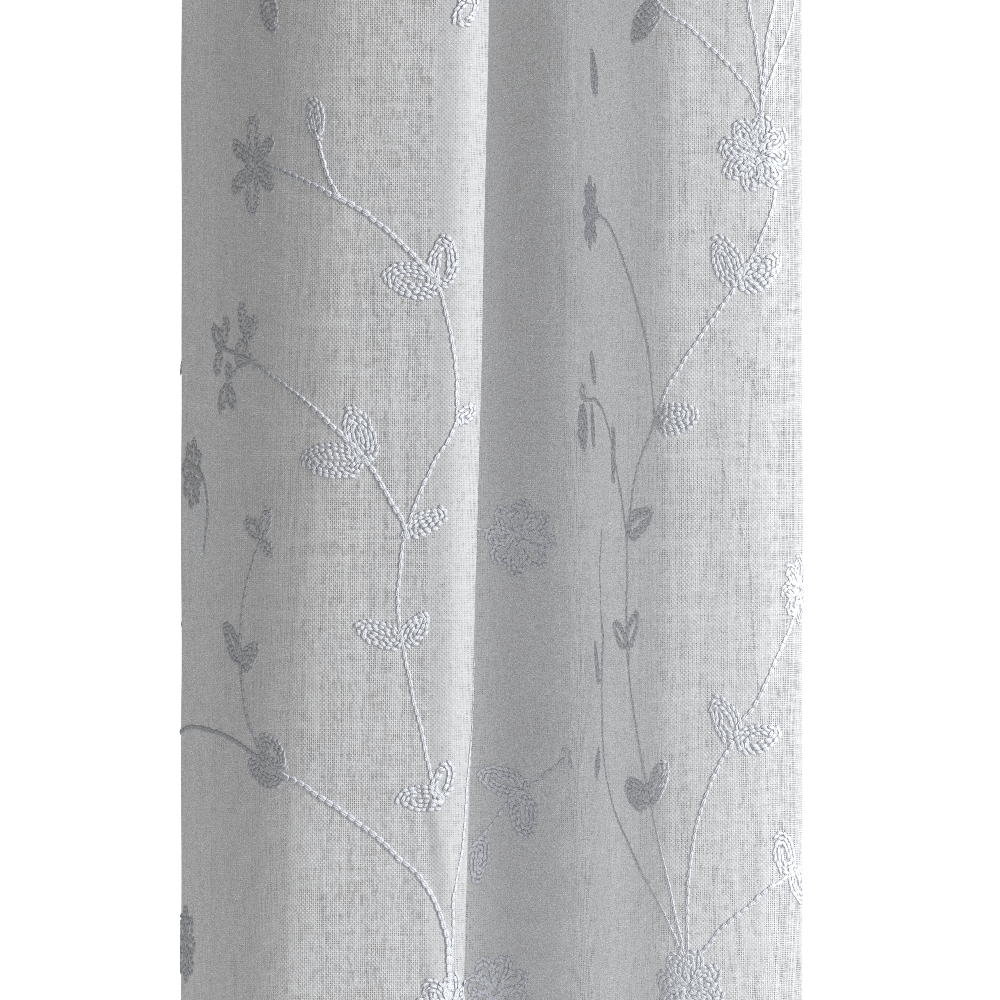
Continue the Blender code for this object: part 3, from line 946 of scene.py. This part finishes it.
# A row of chain stitches along every path: each is one closed loop of thread, whose narrow tail
# comes up inside the head of the loop before it.
def makeChainStitchTree():
    inputs = {
        "Geometry": "Geometry",
        "Stitch Length": 0.0027,
        "Stitch Width": 0.0016,
        "Thread Size": 0.0006,
        "Sink": 0.6,
        "Turn Spread": 0.1,
        "Seed": 1,
        "Thread": "Material",
    }
    tree, given, out = newGroup("chainStitch", inputs, {"Geometry": "Geometry"}, "GeometryNodeTree")
    length, width, size = given["Stitch Length"], given["Stitch Width"], given["Thread Size"]

    # one loop, from its tail at the start round its head and back
    ring = {"Resolution": stitchShape["loopPoints"], "Radius": 1}
    loop = addNode(tree, "GeometryNodeCurvePrimitiveCircle", ring)
    position = addNode(tree, "GeometryNodeInputPosition").outputs[0]
    back, side, _ = separate(tree, position)
    ahead = calc(tree, "MULTIPLY_ADD", back, -stitchShape["reach"], stitchShape["middle"])
    ahead = times(tree, length, ahead)
    narrow = calc(tree, "SUBTRACT", stitchShape["breadth"], times(tree, back, stitchShape["taper"]))
    half = calc(tree, "SUBTRACT", times(tree, width, 0.5), times(tree, size, 0.5))
    aside = times(tree, times(tree, side, narrow), half)
    # the loop goes down into the cloth at both its ends
    dip = times(tree, times(tree, back, back), given["Sink"])
    high = times(tree, calc(tree, "SUBTRACT", stitchShape["rise"], dip), size)
    shape = addNode(tree, "GeometryNodeSetPosition", {
        "Geometry": loop.outputs["Curve"],
        "Position": combine(tree, ahead, aside, high),
    })
    alongThread = addNode(tree, "GeometryNodeCaptureAttribute", {0: shape.outputs[0]}, domain="POINT")
    alongThread.capture_items.new("FLOAT", "along")
    factor = addNode(tree, "GeometryNodeSplineParameter").outputs["Factor"]
    feed(tree, alongThread.inputs[1], factor)
    ring = {"Resolution": stitchShape["threadPoints"], "Radius": times(tree, size, 0.5)}
    profile = addNode(tree, "GeometryNodeCurvePrimitiveCircle", ring).outputs["Curve"]
    aroundThread = addNode(tree, "GeometryNodeCaptureAttribute", {0: profile}, domain="POINT")
    aroundThread.capture_items.new("VECTOR", "around")
    feed(tree, aroundThread.inputs[1], position)
    tube = addNode(tree, "GeometryNodeCurveToMesh", {
        "Curve": alongThread.outputs[0],
        "Profile Curve": aroundThread.outputs[0],
    })
    aroundX, aroundY, _ = separate(tree, aroundThread.outputs[1])
    threadPlace = combine(
        tree,
        calc(tree, "DIVIDE", aroundX, size),
        calc(tree, "DIVIDE", aroundY, size),
        alongThread.outputs[1],
    )
    keep = addNode(
        tree,
        "GeometryNodeStoreNamedAttribute",
        {"Geometry": tube.outputs[0], "Name": "threadPlace"},
        data_type="FLOAT_VECTOR",
        domain="POINT",
    )
    feed(tree, keep.inputs["Value"], threadPlace)
    flat = addNode(tree, "GeometryNodeTransform", {
        "Geometry": keep.outputs[0],
        "Scale": (1, 1, stitchShape["flatness"]),
    })
    smooth = addNode(tree, "GeometryNodeSetShadeSmooth", {"Geometry": flat.outputs[0]})

    # the loops, one after the other along the paths
    path = addNode(tree, "GeometryNodeMeshToCurve", {"Mesh": given["Geometry"]})
    steps = {"Curve": path.outputs["Curve"], "Length": length}
    steps = addNode(tree, "GeometryNodeResampleCurve", steps, mode="LENGTH")
    name = {"Name": "clothNormal"}
    clothNormal = addNode(tree, "GeometryNodeInputNamedAttribute", name, data_type="FLOAT_VECTOR")
    upright = addNode(tree, "FunctionNodeAlignRotationToVector", axis="Z")
    feed(tree, upright.inputs["Vector"], clothNormal.outputs["Attribute"])
    ahead = addNode(tree, "FunctionNodeAlignRotationToVector", axis="X", pivot_axis="Z")
    feed(tree, ahead.inputs["Rotation"], upright.outputs[0])
    feed(tree, ahead.inputs["Vector"], addNode(tree, "GeometryNodeInputTangent").outputs[0])
    spread = given["Turn Spread"]
    stray = addNode(tree, "FunctionNodeRandomValue", data_type="FLOAT")
    grow = addNode(tree, "FunctionNodeRandomValue", data_type="FLOAT")
    for node, low, high, seed in (
        (stray, times(tree, spread, -1.0), spread, given["Seed"]),
        (grow, stitchShape["smallest"], stitchShape["largest"], plus(tree, given["Seed"], 1.0)),
    ):
        feed(tree, node.inputs[2], low)
        feed(tree, node.inputs[3], high)
        feed(tree, node.inputs["Seed"], seed)
    tilt = times(tree, stray.outputs[1], stitchShape["tilt"])
    turnBy = addNode(tree, "FunctionNodeEulerToRotation", {0: combine(tree, tilt, 0.0, stray.outputs[1])})
    turned = addNode(tree, "FunctionNodeRotateRotation", rotation_space="LOCAL")
    feed(tree, turned.inputs["Rotation"], ahead.outputs[0])
    feed(tree, turned.inputs["Rotate By"], turnBy.outputs[0])
    rows = addNode(tree, "GeometryNodeInstanceOnPoints", {
        "Points": steps.outputs["Curve"],
        "Instance": smooth.outputs[0],
        "Rotation": turned.outputs[0],
        "Scale": combine(tree, 1.0, grow.outputs[1], grow.outputs[1]),
    })
    real = addNode(tree, "GeometryNodeRealizeInstances", {"Geometry": rows.outputs["Instances"]})
    dress = {"Geometry": real.outputs["Geometry"], "Material": given["Thread"]}
    dressed = addNode(tree, "GeometryNodeSetMaterial", dress)
    feed(tree, out["Geometry"], dressed.outputs["Geometry"])
    return tree


def sewAlong(name, paths, tree, material, sizes):
    guide = layOnCloth(name + "Guide", paths)
    modifier = guide.modifiers.new("stitches", "NODES")
    modifier.node_group = tree
    sockets = {item.name: item.identifier for item in tree.interface.items_tree if item.in_out == "INPUT"}
    modifier[sockets["Thread"]] = material
    modifier[sockets["Seed"]] = embroidery["seed"]
    for label, value in zip(stitchSockets, sizes):
        modifier[sockets[label]] = value
    depsgraph = bpy.context.evaluated_depsgraph_get()
    mesh = bpy.data.meshes.new_from_object(guide.evaluated_get(depsgraph), depsgraph=depsgraph)
    mesh.name = name
    bpy.data.objects.remove(guide, do_unlink=True)
    print(name, "made:", len(mesh.polygons), "faces")
    return link(bpy.data.objects.new(name, mesh))


threadLook = {
    # painted shade: the light colour on the crests of the plies, the dark one in the grooves between them
    # and on darker grains
    "lightThread": (0.82, 0.84, 0.88, 1),
    "darkThreadAndShade": (0.5, 0.52, 0.575, 1),
    "roughness": 0.42,
    "sheen": 0.3,
    "plies": 2.0,
    "twists": 9.0,  # turns of the plies in one loop
    "relief": 0.00006,
    # below this the ply is painted darker towards its groove: painted shade
    "plyTop": 0.6,  # from here up a ply is at its lightest
    "grainsAMetre": 2600,
    "shadeOfPly": 0.6,
    "toneOfGrain": 0.6,
}


def threadMaterial():
    material = bpy.data.materials.new("white embroidery thread")
    material.use_nodes = True
    tree = material.node_tree
    shader = tree.nodes["Principled BSDF"]
    place = addNode(tree, "ShaderNodeAttribute", attribute_name="threadPlace")
    x, y, alongLoop = separate(tree, place.outputs["Vector"])
    angle = calc(tree, "ARCTAN2", y, x)
    turns = times(tree, alongLoop, 2 * math.pi * threadLook["twists"])
    # painted shade in the grooves between the twisted plies, with the thread's own random grain on top
    ply = calc(tree, "SINE", plus(tree, times(tree, angle, threadLook["plies"]), turns))
    ply = times(tree, smoothStep(tree, ply, -1.0, threadLook["plyTop"]), threadLook["shadeOfPly"])
    spot = addNode(tree, "ShaderNodeTexCoord").outputs["Object"]
    grain = {"Vector": spot, "Scale": threadLook["grainsAMetre"], "Detail": 1}
    grain = addNode(tree, "ShaderNodeTexNoise", grain, noise_dimensions="3D").outputs["Fac"]
    tone = plus(tree, ply, times(tree, grain, threadLook["toneOfGrain"]), clamp=True)
    bump = addNode(tree, "ShaderNodeBump", {"Distance": threadLook["relief"], "Height": tone})
    colour = mixColours(tree, tone, threadLook["darkThreadAndShade"], threadLook["lightThread"])
    feed(tree, shader.inputs["Base Color"], colour)
    feed(tree, shader.inputs["Normal"], bump.outputs["Normal"])
    feed(tree, shader.inputs["Roughness"], threadLook["roughness"])
    feed(tree, shader.inputs["Sheen Weight"], threadLook["sheen"])
    return material


thread = threadMaterial()
chainStitch = makeChainStitchTree()
stemPaths, fineStemPaths, leafPaths, hiddenPaths, flowerPaths = motifPaths()


def hemPaths():  # the seam that holds down the turned edge, on all four sides
    width, drop, inset = cloth["cutWidth"], cloth["drop"], cloth["seamInset"]
    end, step = 0.002, 0.0015
    acrossRow = np.arange(end, width - end, step)
    downRow = np.arange(end, drop - end, step)
    rows = [np.stack([acrossRow, np.full(len(acrossRow), at)], axis=1) for at in (inset, drop - inset)]
    rows += [np.stack([np.full(len(downRow), at), downRow], axis=1) for at in (inset, width - inset)]
    return [(row, False) for row in rows]


embroideryPieces = [
    sewAlong(name, paths, chainStitch, thread, stitches[kind])
    for name, paths, kind in (
        ("hem_seam", hemPaths(), "seam"),
        ("embroidered_stems", stemPaths, "stem"),
        ("embroidered_stems_fine", fineStemPaths, "fineStem"),
        ("embroidered_leaves", leafPaths, "leaf"),
        ("embroidered_leaves_back", hiddenPaths, "leaf"),
        ("embroidered_flowers", flowerPaths, "leaf"),
    )
]


# Lights and surroundings
studio = {
    # name, watts, degrees to the viewer's right, degrees up, colour: fitted to the photo's light
    # and shade, the side light passing through the right fold
    "lights": [
        ("key", 28.5, 50, 22, (0.965, 0.98, 1.0)),
        ("side", 14.5, 112, 10, (0.93, 0.965, 1.0)),
    ],
    "distance": 1.6,
    "disk": 0.9,
    "fill": 0.215,  # what the pale room sends from all sides
    "fillColour": (1.0, 0.978, 0.935),
    "floorColour": (0.93, 0.93, 0.93, 1),
    "floorRoughness": 0.9,
    "floorRadius": 0.9,
    "floorCorners": 64,
    "floorBelow": 0.06,  # the cloth's foot
}


def makeStudio():
    for name, watts, right, up, colour in studio["lights"]:
        azimuth, elevation = math.radians(right), math.radians(up)
        way = np.array([
            math.sin(azimuth) * math.cos(elevation),
            -math.cos(azimuth) * math.cos(elevation),
            math.sin(elevation),
        ])
        light = bpy.data.lights.new(name, "AREA")
        light.shape = "DISK"
        light.size = studio["disk"]
        light.energy = watts
        light.color = colour
        placed = link(bpy.data.objects.new(name, light))
        placed.location = np.array([0.0, 0.0, -view["downAtMiddle"]]) + way * studio["distance"]
        placed.rotation_euler = (math.pi / 2 - elevation, 0, azimuth)
    world = bpy.data.worlds.new("pale room")
    bpy.context.scene.world = world
    world.use_nodes = True
    tree = world.node_tree
    tree.nodes.clear()
    rays = addNode(tree, "ShaderNodeLightPath").outputs
    dim = {"Color": (*studio["fillColour"], 1), "Strength": studio["fill"]}
    fill = addNode(tree, "ShaderNodeBackground", dim).outputs[0]
    white = addNode(tree, "ShaderNodeBackground", {"Color": (1, 1, 1, 1), "Strength": 1.0}).outputs[0]
    # past the cloth the eye meets the dimmer room, beside it the white paper
    clear = calc(tree, "LESS_THAN", rays["Transparent Depth"], 0.5)
    seen = mixShaders(tree, times(tree, rays["Is Camera Ray"], clear), fill, white)
    addNode(tree, "ShaderNodeOutputWorld", {"Surface": seen})
    bpy.context.scene.view_settings.view_transform = "Standard"
    bpy.context.scene.cycles.filter_width = 0.8  # crisp, because one yarn is only two pixels wide
    bpy.context.scene.cycles.use_denoising = False  # it would wipe out the weave


def makeFloor():
    mesh = bpy.data.meshes.new("floor")
    size, down = studio["floorRadius"], -cloth["drop"] - studio["floorBelow"]
    count = studio["floorCorners"]
    turns = np.linspace(0, 2 * math.pi, count + 1)[:-1]
    corners = [(size * math.cos(turn), size * math.sin(turn), down) for turn in turns]
    mesh.from_pydata(corners, [], [tuple(range(count))])
    floor = link(bpy.data.objects.new("floor", mesh))
    material = bpy.data.materials.new("pale floor")
    material.use_nodes = True
    shader = material.node_tree.nodes["Principled BSDF"]
    shader.inputs["Base Color"].default_value = studio["floorColour"]
    shader.inputs["Roughness"].default_value = studio["floorRoughness"]
    floor.data.materials.append(material)


makeStudio()
makeFloor()

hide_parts("voile_cloth")
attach(voileSheet, "root")
for piece in embroideryPieces:
    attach(piece, "root")
